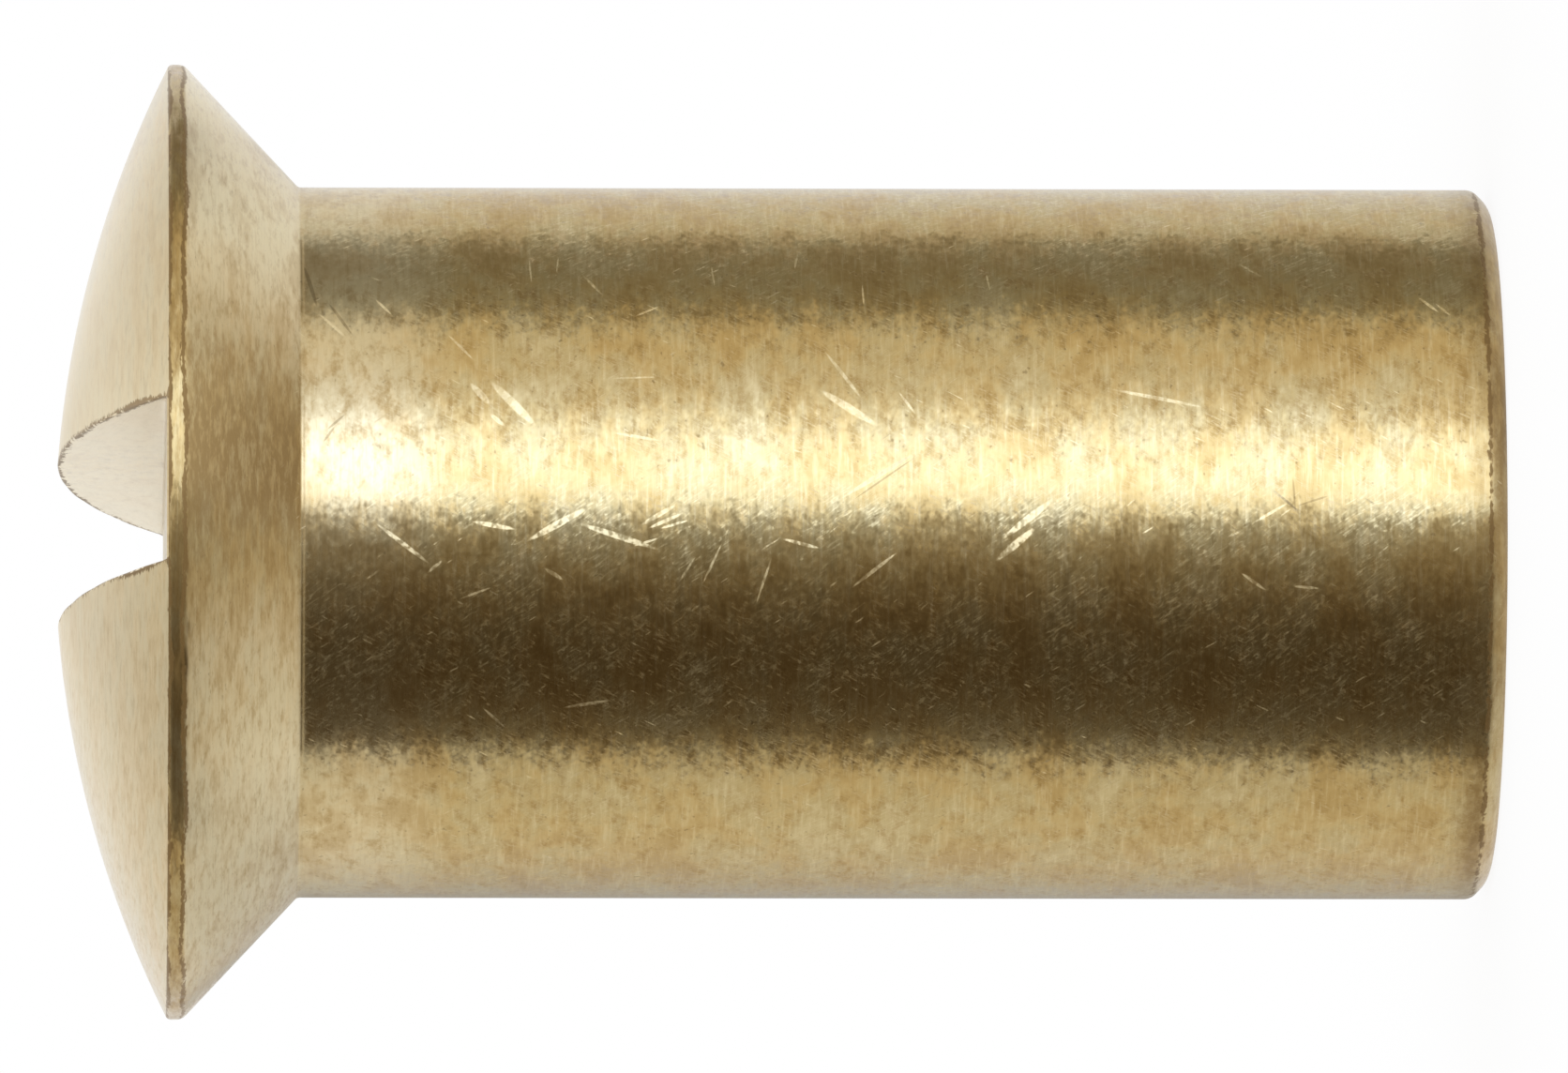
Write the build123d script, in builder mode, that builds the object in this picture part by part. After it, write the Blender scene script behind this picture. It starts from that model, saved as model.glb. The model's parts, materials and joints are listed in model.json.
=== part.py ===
"""Slotted sleeve nut with a raised countersunk head, turned from one brass bar.

A plain round sleeve opens at its lower end into a blind M4 hole. Its upper end widens through a
countersunk cone to a thin rim, and a domed crown above the rim carries a screwdriver slot.

Frame: millimetres, +Z along the nut's axis from the open end to the crown. The origin is the centre
of the open end's flat face, on which the nut stands. The slot runs along Y.
"""

import os
from math import asin, degrees, radians, tan

from build123d import *

# Sleeve
sleeve_diameter = 6.0
end_chamfer = 0.15  # 45 degrees, round the open end's outer edge
seat_length = 11.16  # from the open end to the top edge of the rim

# Head
head_diameter = 8.07
cone_angle = 93.5  # the full angle of the countersunk cone
rim_land = 0.050  # the straight band left between the rim's two rounds
rim_lower_round = 0.058  # where the cone turns into the rim
rim_upper_round = 0.03  # where the rim turns into the crown
crown_height = 0.96  # of the dome above the rim's top edge

# Screwdriver slot
slot_width = 1.36
slot_offset = -0.04  # from the axis to the saw cut's middle plane, along X
slot_depth = 0.93  # below the top of the crown
slot_root_round = 0.04

# Blind tapped hole, M4 x 0.7
tap_drill_diameter = 3.3
drill_point_angle = 118.0
crown_floor = 1.5  # solid metal left between the drill's point and the slot
mouth_diameter = 4.3
mouth_angle = 90.0

# Derived sizes of the outside
sleeve_radius = sleeve_diameter / 2
head_radius = head_diameter / 2
crown_radius = (head_radius**2 + crown_height**2) / (2 * crown_height)
crown_edge_slope = degrees(asin(head_radius / crown_radius))
rim_lower_setback = rim_lower_round * tan(radians(cone_angle / 4))
rim_upper_setback = rim_upper_round * tan(radians((90 - crown_edge_slope) / 2))
rim_height = rim_lower_setback + rim_land + rim_upper_setback
rim_top_z = seat_length
rim_bottom_z = rim_top_z - rim_height
cone_height = (head_radius - sleeve_radius) / tan(radians(cone_angle / 2))
cone_bottom_z = rim_bottom_z - cone_height
crown_top_z = rim_top_z + crown_height
slot_floor_z = crown_top_z - slot_depth

# Derived sizes of the hole
drill_radius = tap_drill_diameter / 2
drill_tip_z = slot_floor_z - crown_floor
drill_shoulder_z = drill_tip_z - drill_radius / tan(radians(drill_point_angle / 2))
mouth_radius = mouth_diameter / 2
mouth_depth = (mouth_radius - drill_radius) / tan(radians(mouth_angle / 2))

with BuildPart() as sleeve_nut:
    # The turned blank: sleeve, cone, rim and domed crown
    with BuildSketch(Plane.XZ):
        with BuildLine():
            Polyline(
                (0, crown_top_z),
                (0, 0),
                (sleeve_radius, 0),
                (sleeve_radius, cone_bottom_z),
                (head_radius, rim_bottom_z),
                (head_radius, rim_top_z),
            )
            RadiusArc((head_radius, rim_top_z), (0, crown_top_z), -crown_radius)
        make_face()
        chamfer(vertices().group_by(Axis.Y)[0].sort_by(Axis.X)[-1], end_chamfer)
        fillet(vertices().group_by(Axis.X)[-1].sort_by(Axis.Y)[0], rim_lower_round)
        fillet(vertices().group_by(Axis.X)[-1].sort_by(Axis.Y)[-1], rim_upper_round)
    revolve(axis=Axis.Z)

    # The blind hole with its drill point and countersunk mouth
    with BuildSketch(Plane.XZ):
        with BuildLine():
            Polyline(
                (0, 0),
                (mouth_radius, 0),
                (drill_radius, mouth_depth),
                (drill_radius, drill_shoulder_z),
                (0, drill_tip_z),
                close=True,
            )
        make_face()
    revolve(axis=Axis.Z, mode=Mode.SUBTRACT)

    # The screwdriver slot, sawn right across the crown, with a small round at each root
    with BuildSketch(Plane.XZ):
        with Locations((slot_offset, slot_floor_z)):
            Rectangle(slot_width, 2 * slot_depth, align=(Align.CENTER, Align.MIN))
        fillet(vertices().group_by(Axis.Y)[0], slot_root_round)
    extrude(amount=head_radius, both=True, mode=Mode.SUBTRACT)

sleeve_nut.part.label = "sleeve_nut"
os.makedirs("parts", exist_ok=True)
export_step(sleeve_nut.part, "parts/sleeve_nut.step")
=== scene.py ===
"""Looks of a slotted brass sleeve nut: its turned skin, sawn slot, tapped hole and satin finish.

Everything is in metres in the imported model's frame. The nut stands on its open end with +Z along
its axis, and its screwdriver slot runs along Y.
"""

import json
from math import asin, cos, pi, radians, sin, sqrt, tan

import bpy
import numpy as np
from mathutils import Matrix, Vector

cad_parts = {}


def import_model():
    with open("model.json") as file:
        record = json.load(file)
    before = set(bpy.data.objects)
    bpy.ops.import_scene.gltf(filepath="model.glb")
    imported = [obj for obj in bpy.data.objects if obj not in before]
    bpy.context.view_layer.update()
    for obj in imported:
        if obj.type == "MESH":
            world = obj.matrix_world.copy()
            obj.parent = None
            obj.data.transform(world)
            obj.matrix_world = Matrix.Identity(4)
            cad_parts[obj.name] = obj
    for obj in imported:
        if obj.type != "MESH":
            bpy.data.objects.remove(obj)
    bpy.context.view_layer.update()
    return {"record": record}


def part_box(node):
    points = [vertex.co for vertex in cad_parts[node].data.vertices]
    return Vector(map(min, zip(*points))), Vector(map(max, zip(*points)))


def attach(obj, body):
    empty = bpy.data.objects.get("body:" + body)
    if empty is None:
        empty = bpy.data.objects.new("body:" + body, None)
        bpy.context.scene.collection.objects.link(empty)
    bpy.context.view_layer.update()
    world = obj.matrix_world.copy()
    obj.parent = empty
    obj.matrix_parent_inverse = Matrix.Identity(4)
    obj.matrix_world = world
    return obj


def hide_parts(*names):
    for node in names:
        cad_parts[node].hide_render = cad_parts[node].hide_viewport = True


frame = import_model()

MM = 0.001
mounts = {mount["name"]: mount for mount in frame["record"]["mounts"]}
random = np.random.default_rng(7)

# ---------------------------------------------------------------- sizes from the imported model
head_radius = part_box("sleeve_nut")[1].x
sleeve_radius = mounts["sleeve"]["dims"]["r_mm"] * MM
hole_radius = mounts["thread"]["dims"]["r_mm"] * MM
hole_wall_top = mounts["thread"]["pos_m"][2] + mounts["thread"]["dims"]["length_mm"] / 2 * MM
slot_centre_x = mounts["driver_slot"]["pos_m"][0]
slot_floor_z = mounts["driver_slot"]["pos_m"][2]

# ---------------------------------------------------------------- sizes of the nut's details
crown_height = 0.96 * MM
rim_top_z = 11.16 * MM
rim_land = 0.035 * MM
rim_lower_round = 0.11 * MM
rim_upper_round = 0.055 * MM
cone_half_angle = radians(46.75)
cone_foot_round = 0.05 * MM  # left by the tool's nose
end_chamfer = 0.15 * MM
end_lower_softening = 0.26 * MM
end_upper_softening = 0.13 * MM
mouth_radius = 2.15 * MM
drill_point_half_angle = radians(59)
slot_half_width = 0.68 * MM
slot_root_round = 0.04 * MM
slot_edge_round = 0.014 * MM
thread_pitch = 0.7 * MM
thread_major_radius = 2.0 * MM
thread_flank_half_angle = radians(30)
thread_run_out = 0.25 * MM  # between the last full turn and the hole's end
sharp_edge_angle = radians(20)

crown_top_z = rim_top_z + crown_height
crown_radius = (head_radius**2 + crown_height**2) / (2 * crown_height)
crown_centre_z = crown_top_z - crown_radius
crown_edge_slope = asin((head_radius - rim_upper_round) / (crown_radius - rim_upper_round))
crown_edge_radius = crown_radius * sin(crown_edge_slope)
crown_edge_z = crown_centre_z + crown_radius * cos(crown_edge_slope)
rim_land_top_z = crown_centre_z + (crown_radius - rim_upper_round) * cos(crown_edge_slope)
rim_land_bottom_z = rim_land_top_z - rim_land
rim_corner_z = rim_land_bottom_z - rim_lower_round * tan(cone_half_angle / 2)
cone_foot_z = rim_corner_z - (head_radius - sleeve_radius) / tan(cone_half_angle)
slot_right_x = slot_centre_x + slot_half_width
slot_left_x = slot_centre_x - slot_half_width
slot_run_out_radius = sqrt(crown_radius**2 - (slot_floor_z - crown_centre_z) ** 2)

# ---------------------------------------------------------------- view
view_azimuth = radians(-8.49)
view_distance = 195 * MM
view_height = 12.0 * MM
aim_height = 5.957 * MM
aim_offset = 0.0593 * MM
frame_width = 13.251 * MM
frame_roll = radians(0.11)


# ---------------------------------------------------------------- surfaces
def line(start, end, count):
    """Points from start to end along a straight line, the first one left out.

    They lie close together at both ends, (1 - cos(t)) / 2 of the way along, so that the shading
    of a round doesn't reach into the flat beside it.
    """
    share = (1 - np.cos(np.linspace(0, pi, count + 1)[1:, None])) / 2
    return np.asarray(start) + share * (np.asarray(end) - np.asarray(start))


def arc(centre, radius, start, end, count):
    """Points on a circle about centre from angle start to angle end, the first one left out."""
    angle = np.linspace(start, end, count + 1)[1:]
    return np.stack([centre[0] + radius * np.cos(angle), centre[1] + radius * np.sin(angle)], 1)


def rounded(before, corner, after, radius, count):
    """The arc of a radius that is tangent to the two lines meeting at a corner, with both ends.

    Its centre lies on the corner's bisector, the radius over the sine of half the angle away.
    """
    before, corner, after = (np.asarray(point, float) for point in (before, corner, after))
    one, other = before - corner, after - corner
    one, other = one / np.linalg.norm(one), other / np.linalg.norm(other)
    half = np.arccos(one @ other) / 2
    middle = (one + other) / np.linalg.norm(one + other)
    centre = corner + middle * radius / np.sin(half)
    first, last = corner + one * radius / np.tan(half), corner + other * radius / np.tan(half)
    start = np.arctan2(*(first - centre)[::-1])
    turn = (np.arctan2(*(last - centre)[::-1]) - start + pi) % (2 * pi) - pi
    return np.concatenate([[first], arc(centre, radius, start, start + turn, count)])


def crown_z(x, y):
    """Height of the crown over a point: the upper face of a sphere about the axis."""
    return crown_centre_z + np.sqrt(crown_radius**2 - x**2 - y**2)


def patch(points, grain, unrolled, wear=0.0, pale=0.0, stain=0.0, inward=False):
    """One grid of the skin: its points and, at each, what the finish needs to know.

    grain is the place in the finish's own coordinates: two numbers that change slowly along the
    tool marks and one that runs across them. unrolled is the place on the skin laid out flat.
    wear is 1 on a worn edge. The second number is 1 where the brass is paler: painted sheen and
    highlight, and by the head also cleaner brass. The third is 1 where it is browner: stains,
    painted shade on the cone's front, and a darker open end.
    """
    shape = points.shape[:2]
    finish = np.stack([np.broadcast_to(part, shape) for part in (wear, pale, stain)], 2)
    return points, grain, unrolled, finish, inward


def near(value, middle, width):
    """A smooth hill: exp(-((value - middle) / width) ** 2)."""
    return np.exp(-(((value - middle) / width) ** 2))


def rise(value, low, high):
    """Goes smoothly from 0 at low to 1 at high, as 3 t**2 - 2 t**3."""
    t = np.clip((value - low) / (high - low), 0, 1)
    return t * t * (3 - 2 * t)


def turned(profile, angles, inward=False, finish=None):
    """Surface of revolution: each (radius, height) of the profile is carried round the axis.

    Its grain is (x, y, distance along the profile), so that marks run round the axis; on the head
    the distance counts for more, and the marks are finer. The surface unrolls to (angle times the
    sleeve's radius, distance along the profile).
    """
    radius, height = profile[:, :1], profile[:, 1:]
    x, y = radius * np.cos(angles), radius * np.sin(angles)
    z = height + 0 * x
    steps = np.linalg.norm(np.diff(profile, axis=0), axis=1)
    along = np.concatenate([[0], np.cumsum(steps)])[:, None] + 0 * x
    unrolled = np.stack([angles * sleeve_radius + 0 * x, along], 2)
    look = finish(x, y, z) if finish else {}
    across = along + head_fineness * np.maximum(z - cone_foot_z, 0)
    points = np.stack([x, y, z], 2)
    grain = np.stack([x, y, across], 2)
    return patch(points, grain, unrolled, inward=inward, **look)


def rows_along_slot(x):
    """The y of each row of the head's top on the line at x, shape (rows,) + x.shape.

    Inside the slot floor's run-out circle the rows lie at a sine spacing, close together near the
    rim, and the last few at each end lead from that circle to the crown's edge.
    """
    run_out = np.sqrt(slot_run_out_radius**2 - x**2)
    edge = np.sqrt(crown_edge_radius**2 - x**2)
    turn = np.linspace(-1, 1, head_rows) * asin(row_crowding)
    inner = (np.sin(turn) / row_crowding)[:, None] * run_out
    outer = run_out + np.linspace(0, 1, end_rows + 1)[1:, None] * (edge - run_out)
    return np.concatenate([-outer[::-1], inner, outer])


def crown_land(edge_x, side):
    """One half of the crown beside the slot: straight rows from the slot's edge out to the rim.

    Dirt lies along the slot's edge, and most of it by the rim on the side of -Y.
    """
    y = rows_along_slot(np.array([edge_x]))
    start = edge_x + side * edge_round_at(y, edge_x)
    end = side * np.sqrt(crown_edge_radius**2 - y**2)
    share = (1 - np.cos(np.linspace(0, pi, land_columns))) / 2
    x = start + (end - start) * share
    y = y + 0 * x
    z = crown_z(x, y)
    reach = np.hypot(x, y)
    along = crown_radius * (crown_edge_slope - np.arcsin(reach / crown_radius))
    along = crown_along_start + 2 * along
    dirt = 0.88 + 0.1 * side + 0.8 * near(y, dirtiest_slot_y, 0.3 * MM)
    wear = dirt * near(x, edge_x, slot_dirt_width)
    wear = wear + 0.7 * near(reach, crown_edge_radius, crown_edge_dirt_width)
    # The crown's paler brass is painted sheen, a little less of it towards the rim.
    pale = 0.52 + 0.06 * side - 0.2 * rise(reach, 0.6 * crown_edge_radius, crown_edge_radius)
    points = np.stack([x, y, z], 2)
    grain = np.stack([x, y, along], 2)
    return patch(points, grain, np.stack([x, y], 2), wear, pale, wiped, inward=side < 0)


def wall_height(y, edge_x):
    """How far the crown stands above the slot's floor at its edge, and 0 past the run-out."""
    return np.maximum(crown_z(edge_x, y) - slot_floor_z, 0)


def edge_round_at(y, edge_x):
    """Radius of the slot's worn edge: uneven along the slot, and shrinking to 0 at the run-out.

    The unevenness is the product of two sine waves along Y, and each edge has its own.
    """
    uneven = 1 + 0.5 * np.sin(y * 5300 + edge_x * 9000) * np.sin(y * 2100 + 1.3)
    return np.minimum(slot_edge_round * uneven, round_share * wall_height(y, edge_x))


def slot_side(edge_x, side):
    """Rows and columns from the crown's edge round, down the wall and round the root, at one side.

    side is +1 where the wall stands at the slot's +X side and -1 at the other.
    """
    y = rows_along_slot(np.array([edge_x]))
    edge = edge_round_at(y, edge_x)
    root = np.minimum(slot_root_round, round_share * wall_height(y, edge_x))
    low = np.minimum(crown_z(edge_x + side * edge, y), slot_floor_z)
    edge_centre_z = crown_z(edge_x + side * edge, y) - edge
    turn = np.linspace(0, pi / 2, edge_columns)
    edge_x_part = edge_x + side * edge * (1 - np.sin(turn))
    edge_z_part = edge_centre_z + edge * np.cos(turn)
    share = np.linspace(0, 1, wall_columns)[1:-1] ** 2
    wall_z = edge_centre_z + (low + root - edge_centre_z) * share
    root_x = edge_x - side * root * (1 - np.cos(turn))
    root_z = low + root * (1 - np.sin(turn))
    x = np.concatenate([edge_x_part, edge_x + 0 * wall_z, root_x], 1)
    z = np.concatenate([edge_z_part, wall_z, root_z], 1)
    worn = near(z, crown_z(edge_x, y), slot_wall_dirt_width)
    return x, y + 0 * x, z, worn


def slot_channel():
    """The sawn slot as one grid: edge, wall and root at +X, the floor, and the same back up at -X.

    Its grain runs along Y, as the saw did, with the distance across the section as the fast
    number.
    """
    right = slot_side(slot_right_x, 1)
    left = [part[:, ::-1] for part in slot_side(slot_left_x, -1)]
    share = np.linspace(0, 1, floor_columns)[1:-1]
    line_x = slot_right_x + (slot_left_x - slot_right_x) * share
    y = rows_along_slot(line_x)
    x = right[0][:, -1:] + (left[0][:, :1] - right[0][:, -1:]) * share
    z = np.minimum(crown_z(x, y), slot_floor_z)
    x, y, z, wear = (
        np.concatenate([a, b, c], 1)
        for a, b, c in zip(right, (x, y, z, 0 * x), left)
    )
    section = np.cumsum(np.hypot(np.diff(x, prepend=x[:, :1]), np.diff(z, prepend=z[:, :1])), 1)
    middle = section[len(section) // 2] + 0 * x
    grain = np.stack([y, 0.3 * x, middle + sawn_grain], 2)
    points = np.stack([x, y, z], 2)
    # The slot's walls are painted paler than its floor, as painted sheen.
    pale = rise(z, slot_floor_z, slot_floor_z + slot_root_round) * 0.5 + 0.2
    return patch(points, grain, np.stack([y, middle], 2), wear, pale, wiped, inward=True)


def rim_angles():
    """The angles round the axis at which the head's top meets the rim, in order, all the way."""
    right = rows_along_slot(np.array([slot_right_x]))[:, 0]
    left = rows_along_slot(np.array([slot_left_x]))[:, 0]
    across = slot_right_x + (slot_left_x - slot_right_x) * np.linspace(0, 1, floor_columns)[1:-1]
    end = np.sqrt(crown_edge_radius**2 - across**2)
    x = np.concatenate([
        np.sqrt(crown_edge_radius**2 - right**2), across,
        -np.sqrt(crown_edge_radius**2 - left**2), across[::-1],
    ])
    y = np.concatenate([right, end, left[::-1], -end[::-1]])
    seam = pi / 2
    angles = np.sort((np.arctan2(y, x) - seam) % (2 * pi)) + seam
    return np.append(angles, angles[0] + 2 * pi)


def outside_profile():
    """(radius, height) of the outside, from the mouth's edge round to the crown's edge.

    Straight runs, with a round where the end's chamfer, the cone and the rim meet them.
    """
    mouth = mouth_radius, 0
    end_corner = sleeve_radius - end_chamfer, 0
    side_corner = sleeve_radius, end_chamfer
    cone_foot = sleeve_radius, cone_foot_z
    rim_corner = head_radius, rim_corner_z
    land_top = head_radius, rim_land_top_z
    end_arc = rounded(mouth, end_corner, side_corner, end_lower_softening, 7)
    side_arc = rounded(end_corner, side_corner, cone_foot, end_upper_softening, 6)
    foot_arc = rounded(side_corner, cone_foot, rim_corner, cone_foot_round, 4)
    rim_arc = rounded(cone_foot, rim_corner, land_top, rim_lower_round, 6)
    upper_centre = head_radius - rim_upper_round, rim_land_top_z
    return np.concatenate([
        [mouth],
        line(mouth, end_arc[0], 6), end_arc[1:],
        line(end_arc[-1], side_arc[0], 4), side_arc[1:],
        line(side_arc[-1], foot_arc[0], 30), foot_arc[1:],
        line(foot_arc[-1], rim_arc[0], 12), rim_arc[1:],
        line(rim_arc[-1], land_top, 3),
        arc(upper_centre, rim_upper_round, 0, pi / 2 - crown_edge_slope, 5),
    ])


def outside_finish(x, y, z):
    """Dirt in the corners beside the rim and the end, paler brass by the head, a stained cone.

    angle is in degrees round from the middle of the front. The dirt's lines at the rim waver as
    the sum of two sine waves round the axis.
    """
    round_axis = np.arctan2(y, x)
    angle = np.degrees(round_axis - view_azimuth + pi / 2)
    angle = (angle + 180) % 360 - 180
    cone = rise(z, cone_foot_z - 0.01 * MM, cone_foot_z + 0.01 * MM)
    rim = rise(z, rim_corner_z - 0.02 * MM, rim_corner_z)
    end = 1 - rise(z, end_chamfer - 0.01 * MM, end_chamfer + 0.02 * MM)
    lower = rim_corner_z + rim_waver * (np.sin(9 * round_axis) + np.sin(23 * round_axis + 1))
    upper = crown_edge_z - rim_waver * (np.sin(13 * round_axis + 2) + np.sin(31 * round_axis))
    wear = 1.2 * near(z, lower, 0.03 * MM) + 1.3 * near(z, upper, 0.032 * MM)
    wear = wear + 1.05 * near(z, end_chamfer, 0.035 * MM)
    # On the cone, paler brass set by the angle from the front is painted sheen: more of it up the
    # upper side, some on the front and lower side, and less far down.
    lower_cone = 0.4 * rise(-angle, 0, 16) + 0.2 * rise(-angle, 20, 40)
    lower_cone = lower_cone - 0.5 * rise(-angle, 58, 80)
    painted_cone_sheen = np.where(angle > 0, 0.75 * rise(angle, 16, 46), lower_cone)
    # By the head the sleeve has paler, cleaner brass, which also paints in a brighter highlight
    # there; there is less of it where the sleeve mirrors the dark band.
    by_head = 0.36 - 0.26 * near(angle, -15, 20)
    pale = by_head * rise(z, pale_from_z, pale_to_z) * (1 - cone) + painted_cone_sheen * cone * (1 - rim)
    # The cone's front is painted darker, as painted shade for the shaded floor at its foot that it
    # mirrors; the rim is stained brown all round.
    stain = 0.95 * near(angle, 12, 15) * cone * (1 - rim) + 0.45 * rim
    # On the end's chamfer and just above it the brass is darker all round, and more or less so with
    # the angle from the front.
    stain = stain + end * (0.5 + 0.45 * near(angle, 20, 13) - 0.4 * rise(-angle, 18, 40))
    by_end = 0.35 + 0.55 * near(angle, -52, 20) + 0.2 * near(angle, 60, 25)
    stain = stain + by_end * near(z, end_darkening_z, end_darkening_width) * (1 - end)
    return {"wear": wear, "pale": pale, "stain": stain}


def outside_angles():
    """The rim's angles for each row of the outside, drawn in to the hole's columns at the mouth."""
    angles = rim_angles()
    rows = np.tile(angles, (len(outside_profile()), 1))
    column = 2 * pi / hole_columns
    rows[0] = np.round(angles / column) * column
    return rows


def tapped_hole():
    """The threaded wall and the mouth's cone, as one grid that follows the helix.

    Rows climb one pitch per turn and lie at fixed places of the thread's form, in shares of a
    pitch: flat roots, 30 degree flanks and flat crests. The radius is the greater of the thread's
    and the mouth's.
    """
    flank = (thread_major_radius - hole_radius) / thread_pitch * tan(thread_flank_half_angle)
    root_half = 1 / 16
    on_crest = 0.43
    form = np.array([0, root_half, root_half + flank / 2, root_half + flank, on_crest, 0.5])
    phases = np.concatenate([form, 1 - form[1:-1][::-1]])
    turns = int(hole_wall_top / thread_pitch) + 3
    place = (np.arange(-1, turns)[:, None] + phases).ravel()
    depth = np.tile(
        np.clip((root_half + flank - np.minimum(phases, 1 - phases)) / flank, 0, 1), turns + 1
    )
    angles = np.linspace(0, 2 * pi, hole_columns + 1)
    z = thread_pitch * (place[:, None] + angles / (2 * pi) - 1)
    z = np.clip(z, 0, hole_wall_top)
    fade = np.clip((hole_wall_top - thread_run_out - z) / thread_pitch, 0, 1)
    thread = hole_radius + (thread_major_radius - hole_radius) * depth[:, None] * fade
    radius = np.maximum(thread, mouth_radius - z)
    points = np.stack([radius * np.cos(angles), radius * np.sin(angles), z], 2)
    along = place[:, None] * thread_pitch + 0 * z
    grain = np.stack([points[..., 0], points[..., 1], along], 2)
    return patch(points, grain, np.stack([angles * hole_radius + 0 * z, along], 2), inward=True)


def drill_point():
    """The cone that the drill leaves at the hole's blind end."""
    tip_z = hole_wall_top + hole_radius / tan(drill_point_half_angle)
    profile = np.concatenate([
        [(hole_radius, hole_wall_top)], line((hole_radius, hole_wall_top), (0, tip_z), 8)
    ])
    return turned(profile, np.linspace(0, 2 * pi, hole_columns + 1), inward=True)


def skin(name, patches, weld=2e-8):
    """One mesh of all the patches: grids cut into triangles, with points that coincide shared.

    Triangles that the welding leaves without width are dropped. Grain, finish and unrolled place
    stay with each patch's own corners, so that a finish can change at an edge.
    """
    corner_points, corner_grain, corner_unrolled, corner_finish = [], [], [], []
    for points, grain, unrolled, finish, flip in patches:
        rows, columns = points.shape[:2]
        index = np.arange(rows * columns).reshape(rows, columns)
        a, b, c, d = index[:-1, :-1], index[:-1, 1:], index[1:, 1:], index[1:, :-1]
        triangles = np.concatenate([
            np.stack([a, b, c], 2).reshape(-1, 3), np.stack([a, c, d], 2).reshape(-1, 3)
        ])
        triangles = triangles[:, ::-1] if flip else triangles
        corner_points.append(points.reshape(-1, 3)[triangles])
        corner_grain.append(grain.reshape(-1, 3)[triangles])
        corner_unrolled.append(unrolled.reshape(-1, 2)[triangles])
        corner_finish.append(finish.reshape(-1, 3)[triangles])
    corners = np.concatenate(corner_points)
    keys = np.floor(corners.reshape(-1, 3) / weld + 0.5).astype(np.int64)
    _, first, shared = np.unique(keys, axis=0, return_index=True, return_inverse=True)
    faces = shared.reshape(-1, 3)
    a, b, c = faces.T
    whole = (a != b) & (b != c) & (c != a)
    vertices = dented(corners.reshape(-1, 3)[first])

    mesh = bpy.data.meshes.new(name)
    mesh.from_pydata(vertices, [], faces[whole])
    unrolled = np.pad(np.concatenate(corner_unrolled) / MM, ((0, 0), (0, 0), (0, 1)))
    layers = {
        "grain": np.concatenate(corner_grain) / MM, "unrolled": unrolled,
        "finish": np.concatenate(corner_finish),
    }
    for layer, values in layers.items():
        attribute = mesh.attributes.new(layer, "FLOAT_VECTOR", "CORNER")
        attribute.data.foreach_set("vector", values[whole].astype(np.float32).ravel())
    mesh.shade_smooth()
    mesh.set_sharp_from_angle(angle=sharp_edge_angle)
    obj = bpy.data.objects.new(name, mesh)
    bpy.context.scene.collection.objects.link(obj)
    return obj


def dented(points):
    """Points of the outside pushed in towards the axis by small knocks, each a smooth hollow.

    A knock's depth falls off as exp(-(distance / width) ** 2), with its own width round the axis
    and along it. Only the rim and the open end's edge have them.
    """
    radius = np.hypot(points[:, 0], points[:, 1])
    angle = np.arctan2(points[:, 1], points[:, 0])
    push = np.zeros(len(points))
    for at, height, wide, tall, depth in knocks:
        away = radius * ((angle - at + pi) % (2 * pi) - pi)
        push += depth * np.exp(-((away / wide) ** 2) - ((points[:, 2] - height) / tall) ** 2)
    push = np.where(radius > knocked_radius, push, 0)
    factor = 1 - push / np.maximum(radius, MM)
    return points * np.stack([factor, factor, np.ones(len(points))], 1)


pale_from_z = 8.7 * MM
pale_to_z = 9.5 * MM
rim_waver = 0.010 * MM
end_darkening_z = 0.21 * MM
end_darkening_width = 0.13 * MM
dirtiest_slot_y = -3.35 * MM
slot_dirt_width = 0.065 * MM
slot_wall_dirt_width = 0.08 * MM
crown_edge_dirt_width = 0.02 * MM
round_share = 0.35  # of the slot wall's height, the most that its edge and root rounds take
head_fineness = 1.3  # what a rise on the head adds to the distance across the marks
sawn_grain = 30 * MM  # where the slot's grain starts, past that of all other patches
wiped = -0.4  # the stain of the crown and the slot: fewer marks than elsewhere
head_rows = 190
row_crowding = 0.985  # nearer 1 puts the rows closer together by the rim
end_rows = 3
land_columns = 34
edge_columns = 5
wall_columns = 11
floor_columns = 24
hole_columns = 96

# Each knock on the rim, and then on the open end's edge: its angle, its height, how wide it is
# round the axis and along it, and its depth. They reach no further in than knocked_radius.
knocked_radius = 0.85 * sleeve_radius
rim_knocks = 90
end_knocks = 40
knocks = [
    (
        random.uniform(-pi, pi),
        rim_land_bottom_z + random.normal(0, 0.03) * MM,
        random.uniform(0.04, 0.16) * MM,
        random.uniform(0.02, 0.05) * MM,
        random.uniform(0.004, 0.019) * MM,
    )
    for _ in range(rim_knocks)
] + [
    (
        random.uniform(-pi, pi),
        random.uniform(0.02, 0.2) * MM,
        random.uniform(0.06, 0.25) * MM,
        random.uniform(0.03, 0.08) * MM,
        random.uniform(0.002, 0.010) * MM,
    )
    for _ in range(end_knocks)
]

outside = turned(outside_profile(), outside_angles(), finish=outside_finish)
crown_along_start = outside[1][-1, 0, 2]
sleeve_start = sleeve_radius - mouth_radius + (sqrt(2) - 2) * end_chamfer  # along the profile
sleeve_end = (sleeve_start + cone_foot_z) / MM
nut = skin("turned_nut", [
    outside,
    crown_land(slot_right_x, 1),
    crown_land(slot_left_x, -1),
    slot_channel(),
    tapped_hole(),
    drill_point(),
])
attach(nut, "root")
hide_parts("sleeve_nut")


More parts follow.
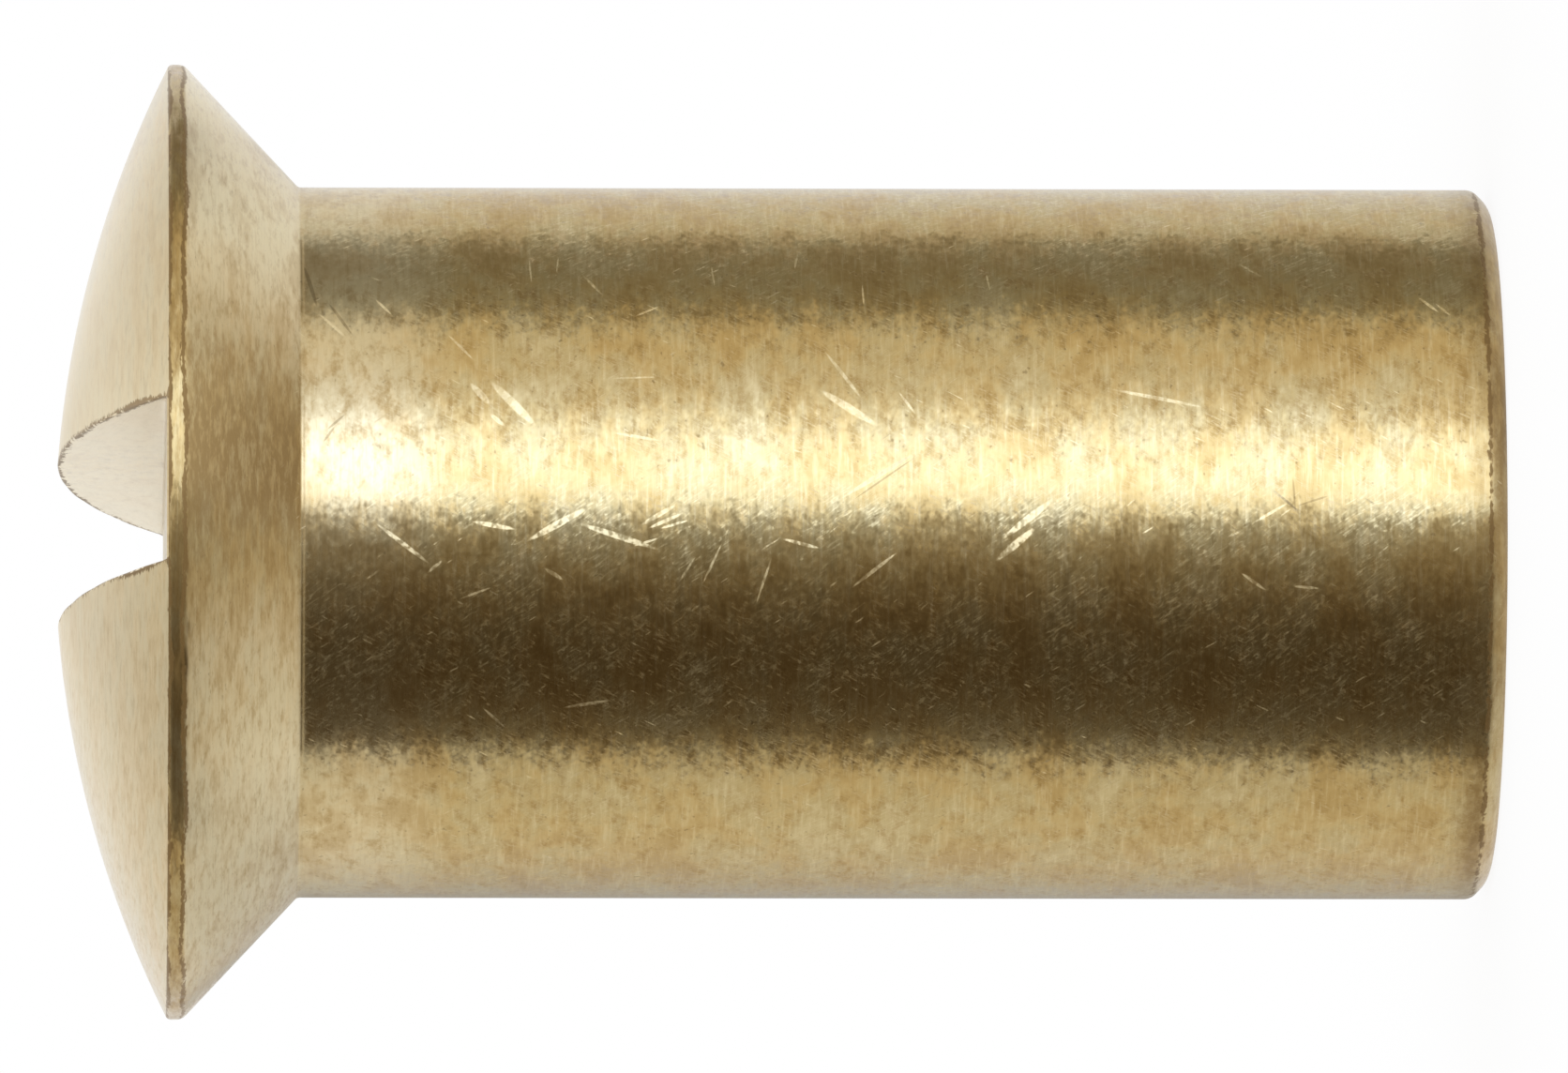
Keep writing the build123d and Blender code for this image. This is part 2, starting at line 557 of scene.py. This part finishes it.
# ---------------------------------------------------------------- finish
class Pattern:
    """Builds a material's pattern: each method adds one node and returns its output."""

    def __init__(self, tree):
        self.tree = tree

    def add(self, kind, inputs, output=0, **settings):
        node = self.tree.nodes.new(kind)
        for name, value in settings.items():
            setattr(node, name, value)
        for name, value in inputs.items():
            self.feed(node.inputs[name], value)
        return node.outputs[output]

    def feed(self, socket, value):
        if isinstance(value, bpy.types.NodeSocket):
            self.tree.links.new(value, socket)
        else:
            socket.default_value = value

    def attribute(self, name):
        return self.add("ShaderNodeAttribute", {}, "Vector", attribute_name=name)

    def parts(self, vector):
        """The three numbers of a vector."""
        node = self.tree.nodes.new("ShaderNodeSeparateXYZ")
        self.tree.links.new(vector, node.inputs[0])
        return node.outputs

    def math(self, operation, a, b=0.0, c=0.0):
        return self.add("ShaderNodeMath", {0: a, 1: b, 2: c}, operation=operation)

    def vector(self, operation, a, b=(0, 0, 0), output="Vector"):
        return self.add("ShaderNodeVectorMath", {0: a, 1: b}, output, operation=operation)

    def noise(self, place, scale, detail, roughness):
        """A noise with so many patches per millimetre along each number of the place."""
        place = self.vector("MULTIPLY", place, scale)
        values = {"Vector": place, "Scale": 1.0, "Detail": detail, "Roughness": roughness}
        return self.add("ShaderNodeTexNoise", values)

    def ramp(self, value, low, high, start=0.0, end=1.0):
        """Goes smoothly from start to end while the value goes from low to high."""
        values = {"Value": value, "From Min": low, "From Max": high, "To Min": start, "To Max": end}
        return self.add("ShaderNodeMapRange", values, interpolation_type="SMOOTHSTEP")

    def blend(self, factor, a, b):
        """Mixes two colours; these sockets have the same name for every type, so by number."""
        return self.add("ShaderNodeMix", {0: factor, 6: a, 7: b}, 2, data_type="RGBA")

    def total(self, values, operation="ADD"):
        """All the values put together by one operation."""
        result = values[0]
        for value in values[1:]:
            result = self.math(operation, result, value)
        return result


def scratch(pattern, place, centre, lean, reach, width):
    """1 along the middle of one scratch, falling to 0 at its ends and sides.

    The scratch is an ellipse of half length reach and half width width, turned by lean.
    """
    values = {
        "Vector": place, "Location": (*centre, 0), "Rotation": (0, 0, lean),
        "Scale": (reach, width, 1),
    }
    inner = pattern.add("ShaderNodeMapping", values, vector_type="TEXTURE")
    return pattern.add("ShaderNodeTexGradient", {0: inner}, "Fac", gradient_type="SPHERICAL")


def strokes(pattern, place, lean, length, width, patches):
    """1 on random small nicks that all lean the same way, and less on fine lines between them.

    It is a noise stretched along the strokes. It is a nick where the noise is over a high level,
    and a line where it crosses its middle value within one of the patches.
    """
    values = {"Vector": place, "Rotation": (0, 0, lean), "Scale": (length, width, 1)}
    inner = pattern.add("ShaderNodeMapping", values, vector_type="TEXTURE")
    values = {"Vector": inner, "Scale": 1.0, "Detail": 1.0, "Roughness": 0.6}
    noise = pattern.add("ShaderNodeTexNoise", values, noise_dimensions="2D")
    away = pattern.math("ABSOLUTE", pattern.math("SUBTRACT", noise, 0.5))
    lines = pattern.math("MULTIPLY", pattern.ramp(away, 0.01, 0.045, 0.45, 0), patches)
    return pattern.math("MAXIMUM", pattern.ramp(noise, 0.755, 0.84, 0, 0.8), lines)


clean_brass = (0.62, 0.455, 0.20, 1)
painted_sheen_brass = (0.90, 0.81, 0.60, 1)
warm_tarnish = (0.40, 0.255, 0.085, 1)
grey_tarnish = (0.50, 0.40, 0.20, 1)
dark_tarnish_and_shade = (0.17, 0.105, 0.04, 1)
edge_tarnish = (0.24, 0.14, 0.04, 1)
stain_and_shade_brass = (0.285, 0.18, 0.062, 1)
bared_brass = (0.86, 0.74, 0.46, 1)


# Each scratch on the sleeve: degrees round from the middle of the front, height, lean from round
# the axis in degrees, half length and half width; lengths in millimetres. The flank of the first
# ones faces up the sleeve's side towards the lamp, and that of the others faces down to it.
scratches_below_lamp = [
    (3, 7.92, -61, 0.31, 0.034),
    (3.6, 7.84, -58, 0.12, 0.018),
    (1.1, 7.41, 72, 0.38, 0.030),
    (2.8, 8.45, 80, 0.20, 0.024),
    (0, 5.89, 76, 0.18, 0.018),
    (-0.2, 9.20, 53, 0.30, 0.022),
    (-3.8, 8.94, -50, 0.09, 0.016),
    (-4.9, 7.95, 58, 0.10, 0.020),
    (4.5, 7.08, -60, 0.18, 0.022),
    (3.6, 7.02, -66, 0.17, 0.018),
    (0.2, 7.18, -72, 0.12, 0.012),
    (3, 6.95, -74, 0.13, 0.013),
    (-4.2, 5.28, -52, 0.26, 0.018),
    (11, 5.24, -58, 0.36, 0.024),
    (4, 4.00, -52, 0.29, 0.034),
    (0, 4.10, -50, 0.24, 0.036),
    (-3.2, 6.63, -25, 0.20, 0.012),
    (-4.2, 6.84, -33, 0.14, 0.012),
    (-26.5, 7.66, -80, 0.22, 0.018),
    (-29, 8.44, 45, 0.15, 0.014),
    (5, 1.98, -60, 0.18, 0.014),
    (-5.9, 2.12, 55, 0.14, 0.016),
    (-6.8, 1.68, 85, 0.13, 0.014),
    (-6, 6.20, -18, 0.22, 0.012),
    (-8, 8.60, -70, 0.16, 0.012),
]
scratches_above_lamp = [
    (22.9, 8.29, 43, 0.30, 0.044),
    (24.5, 8.56, 40, 0.14, 0.034),
    (20, 8.42, 48, 0.09, 0.022),
    (28, 5.53, 34, 0.30, 0.018),
    (22.2, 5.49, 56, 0.31, 0.040),
    (23, 5.00, 34, 0.13, 0.014),
    (17.2, 7.25, 80, 0.21, 0.016),
    (37, 9.78, 42, 0.19, 0.016),
    (41, 9.36, 38, 0.12, 0.014),
    (33, 8.72, 40, 0.18, 0.014),
    (46, 7.61, 34, 0.17, 0.014),
    (49.8, 8.13, 3, 0.20, 0.009),
    (51, 7.90, -5, 0.12, 0.009),
    (40.2, 7.16, -62, 0.13, 0.012),
    (48.2, 6.60, 5, 0.14, 0.009),
    (52, 5.90, -9, 0.12, 0.010),
    (44, 5.35, 2, 0.13, 0.009),
    (47, 4.30, 7, 0.12, 0.010),
    (50, 2.10, 48, 0.14, 0.014),
    (42, 0.62, 44, 0.13, 0.016),
    (41, 0.50, 42, 0.10, 0.012),
    (27.4, 7.27, -88, 0.20, 0.010),
    (24, 2.92, 78, 0.42, 0.020),
    (7, 1.85, 50, 0.16, 0.012),
]
# These are painted shade: darker lines, most in or near the lamp's highlight, standing for scratch
# flanks turned away from the lamp.
shaded_scratch_marks = [
    (45.8, 9.97, 12, 0.28, 0.020),
    (38.5, 9.72, 30, 0.22, 0.015),
    (19.6, 9.76, -48, 0.11, 0.012),
    (17.5, 9.82, -35, 0.09, 0.012),
    (10.4, 5.20, -55, 0.34, 0.010),
    (8.0, 1.78, 4, 0.16, 0.010),
    (7.0, 1.62, -72, 0.15, 0.010),
]


def scratch_place(turn, height):
    """Where the unrolled skin has the point so many degrees from the front and so high."""
    angle = view_azimuth - pi / 2 + 2 * pi + radians(turn)
    along = height + sleeve_start / MM
    return angle * sleeve_radius / MM, along


def brass():
    """Turned brass that has lain about: fine marks round the axis, tarnish, specks, scratches, and
    painted sheen and painted shade.
    """
    material = bpy.data.materials.new("satin_brass")
    material.use_nodes = True
    pattern = Pattern(material.node_tree)
    shader = material.node_tree.nodes["Principled BSDF"]
    grain = pattern.attribute("grain")
    unrolled = pattern.attribute("unrolled")
    along = pattern.parts(unrolled)[1]
    wear, pale, stain = pattern.parts(pattern.attribute("finish"))
    marked = pattern.math("ADD", pattern.math("MINIMUM", stain, 0), 1)
    tarnish = pattern.math("MAXIMUM", pattern.math("MULTIPLY_ADD", pale, -0.6, marked), 0)
    stain = pattern.math("MAXIMUM", stain, 0)

    marks = pattern.noise(grain, (2.6, 2.6, 30), 3, 0.62)
    clouds = pattern.noise(grain, (1.3, 1.3, 1.9), 4, 0.68)
    mottle = pattern.noise(grain, (5, 5, 8.5), 3, 0.72)
    flecks = pattern.noise(grain, (18, 18, 22), 1, 0.6)

    def group(scratch_list):
        """1 on all the scratches of a list."""
        return pattern.ramp(pattern.total([
            scratch(pattern, unrolled, scratch_place(turn, z), radians(lean), reach, width)
            for turn, z, lean, reach, width in scratch_list
        ], "MAXIMUM"), 0.02, 0.3)

    scuffed = pattern.math("MAXIMUM", pattern.math("MULTIPLY_ADD", stain, -0.8, tarnish), 0)
    on_sleeve = pattern.ramp(along, sleeve_end, sleeve_end + 0.1, 1, 0.2)
    handled = pattern.math("MULTIPLY", on_sleeve, pattern.ramp(marked, 0.6, 1, 0.3, 1))
    rough_patches = pattern.math("MULTIPLY", pattern.ramp(clouds, 0.42, 0.58), scuffed)
    fine_patches = pattern.math("MULTIPLY", pattern.ramp(mottle, 0.42, 0.58), scuffed)
    upward = group(scratches_below_lamp)
    upward_strokes = strokes(pattern, unrolled, radians(-56), 0.26, 0.034, rough_patches)
    upward = pattern.math("MAXIMUM", upward, upward_strokes)
    downward = group(scratches_above_lamp)
    downward_strokes = strokes(pattern, unrolled, radians(62), 0.22, 0.034, fine_patches)
    downward = pattern.math("MAXIMUM", downward, downward_strokes)
    broken = pattern.ramp(flecks, 0.38, 0.56, 0.45, 1.0)
    broken = pattern.math("MULTIPLY", broken, handled)
    upward = pattern.math("MULTIPLY", upward, broken)
    downward = pattern.math("MULTIPLY", downward, broken)
    scratches = pattern.math("MAXIMUM", upward, downward)
    shaded_scratch_lines = group(shaded_scratch_marks)

    colour = pattern.blend(pattern.ramp(clouds, 0.40, 0.60, 0, 0.7), clean_brass, grey_tarnish)
    # Painted sheen and highlight: paler brass on the crown, the slot's walls, the cone's sides and
    # by the head.
    colour = pattern.blend(pale, colour, painted_sheen_brass)
    # Each coat: the noise, where it starts and where it is full, its share there, and its tone.
    coats = [
        (clouds, 0.52, 0.36, 0.5, warm_tarnish),
        (mottle, 0.44, 0.76, 0.8, warm_tarnish),
        (clouds, 0.54, 0.70, 0.25, bared_brass),
        (marks, 0.48, 0.30, 0.28, warm_tarnish),
        (marks, 0.52, 0.68, 0.21, bared_brass),
        (flecks, 0.68, 0.80, 0.45, dark_tarnish_and_shade),
    ]
    for field, start, full, share, tone in coats:
        coat = pattern.math("MULTIPLY", pattern.ramp(field, start, full, 0, share), tarnish)
        colour = pattern.blend(coat, colour, tone)
    # Brown stains, painted shade on the cone's front, and the darker open end.
    stain_and_shade_share = pattern.math("MULTIPLY", stain, pattern.ramp(mottle, 0.3, 0.6, 0.6, 1.1))
    colour = pattern.blend(stain_and_shade_share, colour, stain_and_shade_brass)
    colour = pattern.blend(pattern.math("MULTIPLY", scratches, 0.4), colour, bared_brass)
    ragged = pattern.math("MULTIPLY_ADD", mottle, 2.2, pattern.math("MULTIPLY", flecks, 1.6))
    edge = pattern.ramp(pattern.math("MULTIPLY_ADD", wear, 1.4, ragged), 2.9, 3.3, 0, 0.85)
    colour = pattern.blend(edge, colour, edge_tarnish)
    # Painted shade along the darker scratches.
    colour = pattern.blend(pattern.math("MULTIPLY", shaded_scratch_lines, 0.42), colour, dark_tarnish_and_shade)
    pattern.feed(shader.inputs["Base Color"], colour)

    roughness = pattern.math("MULTIPLY_ADD", mottle, 0.14, 0.29)
    roughness = pattern.math("MULTIPLY_ADD", stain, 0.12, roughness)
    roughness = pattern.math("MULTIPLY_ADD", edge, 0.3, roughness)
    pattern.feed(shader.inputs["Roughness"], roughness)

    # The skin's small waves tip the mirror round the axis, and so does each scratch's flank. The
    # marks run round the axis too, and along Y in the sawn slot.
    place = pattern.add("ShaderNodeTexCoord", {}, "Object")
    around = pattern.vector("NORMALIZE", pattern.vector("CROSS_PRODUCT", (0, 0, 1), place))
    sawn = pattern.math("GREATER_THAN", pattern.parts(grain)[2], sawn_grain / MM - 0.5)
    values = {0: sawn, 4: around, 5: (0, 1, 0)}
    brushed = pattern.add("ShaderNodeMix", values, 1, data_type="VECTOR")
    tip = pattern.total([
        pattern.math("MULTIPLY_ADD", marks, 0.02, -0.01),
        pattern.math("MULTIPLY_ADD", mottle, 0.26, -0.13),
        pattern.math("MULTIPLY_ADD", flecks, 0.15, -0.075),
        pattern.math("MULTIPLY", upward, 0.12),
        pattern.math("MULTIPLY", downward, -0.12),
    ])
    normal = pattern.add("ShaderNodeNewGeometry", {}, "Normal")
    tipped = pattern.add("ShaderNodeVectorMath", {0: around, "Scale": tip}, 0, operation="SCALE")
    normal = pattern.vector("NORMALIZE", pattern.vector("ADD", normal, tipped))
    pattern.feed(shader.inputs["Normal"], normal)
    pattern.feed(shader.inputs["Tangent"], brushed)
    # Tarnish, the painted shade on the cone's front, and rough scratches scatter a little of the
    # light as paint would.
    metallic = pattern.math("MULTIPLY_ADD", stain, -0.2, 1.0)
    metallic = pattern.math("MULTIPLY_ADD", edge, -0.4, metallic)
    metallic = pattern.math("MULTIPLY_ADD", scratches, -0.25, metallic)
    metallic = pattern.math("SUBTRACT", metallic, pattern.ramp(mottle, 0.46, 0.70, 0, 0.01))
    speckle = pattern.ramp(flecks, 0.50, 0.72, 0, 0.032)
    metallic = pattern.math("SUBTRACT", metallic, speckle)
    pattern.feed(shader.inputs["Metallic"], metallic)
    shader.inputs["Sheen Weight"].default_value = 0.3
    shader.inputs["Sheen Roughness"].default_value = 0.35
    shader.inputs["Anisotropic"].default_value = 0.85
    shader.inputs["Anisotropic Rotation"].default_value = 0.25
    return material


nut.data.materials.append(brass())


# ---------------------------------------------------------------- studio
def plain_card(name, points, faces):
    """One flat mesh of the studio, staged so that it isn't part of the nut."""
    mesh = bpy.data.meshes.new(name)
    mesh.from_pydata(points, [], faces)
    obj = bpy.data.objects.new(name, mesh)
    bpy.context.scene.collection.objects.link(obj)
    return obj


def floor():
    """A white floor: it shines by itself to the camera and to mirrors, and keeps some shadow."""
    reach = floor_reach
    corners = [(-reach, -reach, 0), (reach, -reach, 0), (reach, reach, 0), (-reach, reach, 0)]
    obj = plain_card("studio_floor", corners, [(0, 1, 2, 3)])
    material = bpy.data.materials.new("white_floor")
    material.use_nodes = True
    tree = material.node_tree
    tree.nodes.remove(tree.nodes["Principled BSDF"])
    pattern = Pattern(tree)
    ray = tree.nodes.new("ShaderNodeLightPath").outputs
    seen = pattern.total(
        [ray["Is Camera Ray"], ray["Is Glossy Ray"], ray["Is Transmission Ray"]], "MAXIMUM"
    )
    matt = pattern.add("ShaderNodeBsdfDiffuse", {"Color": (1, 1, 1, 1)})
    shine = pattern.add("ShaderNodeEmission", {"Color": (1, 1, 1, 1), "Strength": 1.0})
    share = pattern.math("MULTIPLY", seen, floor_shine)
    mixed = pattern.add("ShaderNodeMixShader", {0: share, 1: matt, 2: shine})
    tree.links.new(mixed, tree.nodes["Material Output"].inputs["Surface"])
    obj.data.materials.append(material)


floor_reach = 4.0
floor_shine = 0.9
tent_radius = 8 * MM
tent_back_top = 10 * MM
tent_middle = 9.5 * MM
tent_front_top = 27 * MM
ring_radii = np.array([3.015, 3.25, 3.5, 3.8, 4.2, 4.7, 5.4, 6.4, 8.0]) * MM
cone_rings = 5  # of these, from the inside
ceiling_height = cone_foot_z - 0.01 * MM
card_lift = 0.02 * MM
behind = (0.76, 0.75, 0.73)
dark_side = (0.079, 0.060, 0.038)
lamp = (2.25, 2.57, 3.2)
# What the sleeve mirrors to the camera, by how many degrees its side is turned from the camera.
sleeve_bands = [
    (-90, (0.22, 0.21, 0.19)),
    (-82, (0.42, 0.41, 0.38)),
    (-74, (0.62, 0.61, 0.57)),
    (-64, (0.86, 0.84, 0.79)),
    (-54, (0.88, 0.86, 0.79)),
    (-39, (0.79, 0.76, 0.68)),
    (-37, dark_side),
    (-20, dark_side),
    (-14, (0.106, 0.086, 0.062)),
    (-9, (0.16, 0.13, 0.095)),
    (-5, (0.26, 0.225, 0.17)),
    (0, (0.39, 0.36, 0.31)),
    (4, (0.52, 0.51, 0.48)),
    (6.6, lamp),
    (16, lamp),
    (22, (1.25, 1.30, 1.40)),
    (28, (0.91, 0.88, 0.82)),
    (34, (0.97, 0.92, 0.81)),
    (38.5, (0.85, 0.80, 0.69)),
    (40.3, (0.34, 0.33, 0.28)),
    (49, (0.265, 0.25, 0.21)),
    (58.3, (0.27, 0.26, 0.225)),
    (60, (0.82, 0.81, 0.76)),
    (76, (0.86, 0.86, 0.84)),
    (90, (0.95, 0.98, 1.04)),
]
# What the head's cone mirrors, by how many degrees that side of it is turned from the camera.
cone_bands = [
    (-180, (0.72, 0.70, 0.64)),
    (-90, (0.58, 0.57, 0.53)),
    (-62, (0.64, 0.63, 0.59)),
    (-48, (0.74, 0.73, 0.68)),
    (-35, (0.88, 0.86, 0.80)),
    (-18, (0.80, 0.77, 0.70)),
    (0, (0.78, 0.75, 0.70)),
    (20, (0.76, 0.73, 0.67)),
    (38, (0.77, 0.72, 0.63)),
    (60, (0.86, 0.85, 0.80)),
    (90, (0.78, 0.76, 0.73)),
    (180, (0.72, 0.70, 0.64)),
]
head_raise = 1.8
card_columns = 721


def raised(bands):
    """The bands by the nut's head: those below the lamp sit a little further up and end sharper."""
    result = []
    for turn, colour in bands:
        shift = head_raise * (1 - 0.7 * rise(turn, -30, 0) - 0.3 * rise(turn, 4, 8))
        dimmed = np.array(colour) * (1 - 0.3 * near(turn, -2, 6))
        result.append((turn + shift, tuple(dimmed)))
    return result


def on_card(bands, radius):
    """The bands by the angle round a card of this radius that the sleeve mirrors to the camera.

    A side turned by t mirrors the ray at 2 t, which starts beside the axis, and so it meets the
    card at 2 t - asin(sleeve_radius / radius * sin(t)). Behind the nut the card is plain.
    """
    turn = np.radians([band[0] for band in bands])
    angle = np.degrees(2 * turn - np.arcsin(sleeve_radius / radius * np.sin(turn)))
    seen = [(at, band[1]) for at, band in zip(angle, bands)]
    return [(-180, behind), *seen, (180, behind)]


def glow_card(name, row_bands, rows):
    """A card round the nut that only mirrors show; rows gives (radius, height) at each angle.

    Along each row the brightness runs straight from one of the row's bands to the next.
    """
    turn = np.linspace(-180, 180, card_columns)
    glow = []
    for bands in row_bands:
        stops = [band[0] for band in bands]
        channels = np.array([band[1] for band in bands]).T
        levels = [np.interp(turn, stops, channel) for channel in channels]
        glow.append(np.stack(levels, 1))
    glow = np.array(glow)
    angle = np.radians(turn) + view_azimuth - pi / 2
    radius, height = rows(turn)
    points = np.stack([radius * np.cos(angle), radius * np.sin(angle), height], 2)
    count, columns = radius.shape
    index = np.arange(count * columns).reshape(count, columns)
    faces = np.stack([index[:-1, :-1], index[:-1, 1:], index[1:, 1:], index[1:, :-1]], 2)
    obj = plain_card(name, points.reshape(-1, 3), faces.reshape(-1, 4))
    attribute = obj.data.attributes.new("glow", "FLOAT_VECTOR", "POINT")
    attribute.data.foreach_set("vector", glow.astype(np.float32).ravel())
    material = bpy.data.materials.new(name + "_glow")
    material.use_nodes = True
    tree = material.node_tree
    tree.nodes.remove(tree.nodes["Principled BSDF"])
    pattern = Pattern(tree)
    light = pattern.add("ShaderNodeEmission", {"Color": pattern.attribute("glow")})
    tree.links.new(light, tree.nodes["Material Output"].inputs["Surface"])
    obj.data.materials.append(material)
    obj.visible_camera = False
    obj.visible_diffuse = False
    obj.visible_shadow = False
    obj.visible_transmission = False
    obj.visible_volume_scatter = False


def tent_rows(turn):
    """The tent's wall: from the floor up, and higher in front than behind."""
    forward = rise(np.cos(np.radians(turn)), -0.35, 0.35)
    top = tent_back_top + (tent_front_top - tent_back_top) * forward
    height = np.stack([card_lift + 0 * top, tent_middle + 0 * top, top])
    return np.full(height.shape, tent_radius), height


def floor_rows(turn):
    """Flat rings just over the floor."""
    radius = ring_radii[:, None] + 0 * turn
    return radius, 0 * radius + card_lift


def ceiling_rows(turn):
    """Flat rings level with the foot of the head's cone."""
    radius = ring_radii[:, None] + 0 * turn
    return radius, 0 * radius + ceiling_height


def ceiling_underside_rows(turn):
    """The same rings a little lower, which the sleeve mirrors."""
    radius, height = ceiling_rows(turn)
    return radius, height - card_lift


def camera():
    """Looks at the nut's side from a long way off, turned so that the nut lies across the view."""
    data = bpy.data.cameras.new("camera")
    obj = bpy.data.objects.new("camera", data)
    bpy.context.scene.collection.objects.link(obj)
    bpy.context.scene.camera = obj
    data.sensor_width = 36
    data.lens = data.sensor_width * view_distance / frame_width
    data.clip_start = 0.01
    data.clip_end = 20
    side = Vector((cos(view_azimuth), sin(view_azimuth), 0))
    towards_camera = Vector((sin(view_azimuth), -cos(view_azimuth), 0))
    place = towards_camera * view_distance + Vector((0, 0, view_height)) + side * aim_offset
    target = Vector((0, 0, aim_height)) + side * aim_offset
    back = (place - target).normalized()
    up = Matrix.Rotation(frame_roll, 3, back) @ side
    right = up.cross(back).normalized()
    up = back.cross(right)
    obj.matrix_world = Matrix.Translation(place) @ Matrix((right, up, back)).transposed().to_4x4()


def world():
    """A plain white world at strength 1."""
    scene_world = bpy.data.worlds.new("studio")
    bpy.context.scene.world = scene_world
    scene_world.use_nodes = True
    back = scene_world.node_tree.nodes["Background"]
    back.inputs["Color"].default_value = (1, 1, 1, 1)
    back.inputs["Strength"].default_value = 1.0


floor()
head_bands = raised(sleeve_bands)
tent_head = on_card(head_bands, tent_radius)
glow_card("light_tent", [on_card(sleeve_bands, tent_radius), tent_head, tent_head], tent_rows)
glow_card("floor_rings", [on_card(sleeve_bands, radius) for radius in ring_radii], floor_rows)
under_rings = [on_card(head_bands, radius) for radius in ring_radii]
glow_card("ceiling_underside", under_rings, ceiling_underside_rows)
glow_card("ceiling", [cone_bands] * cone_rings + under_rings[cone_rings:], ceiling_rows)
camera()
world()
bpy.context.scene.view_settings.view_transform = "Standard"
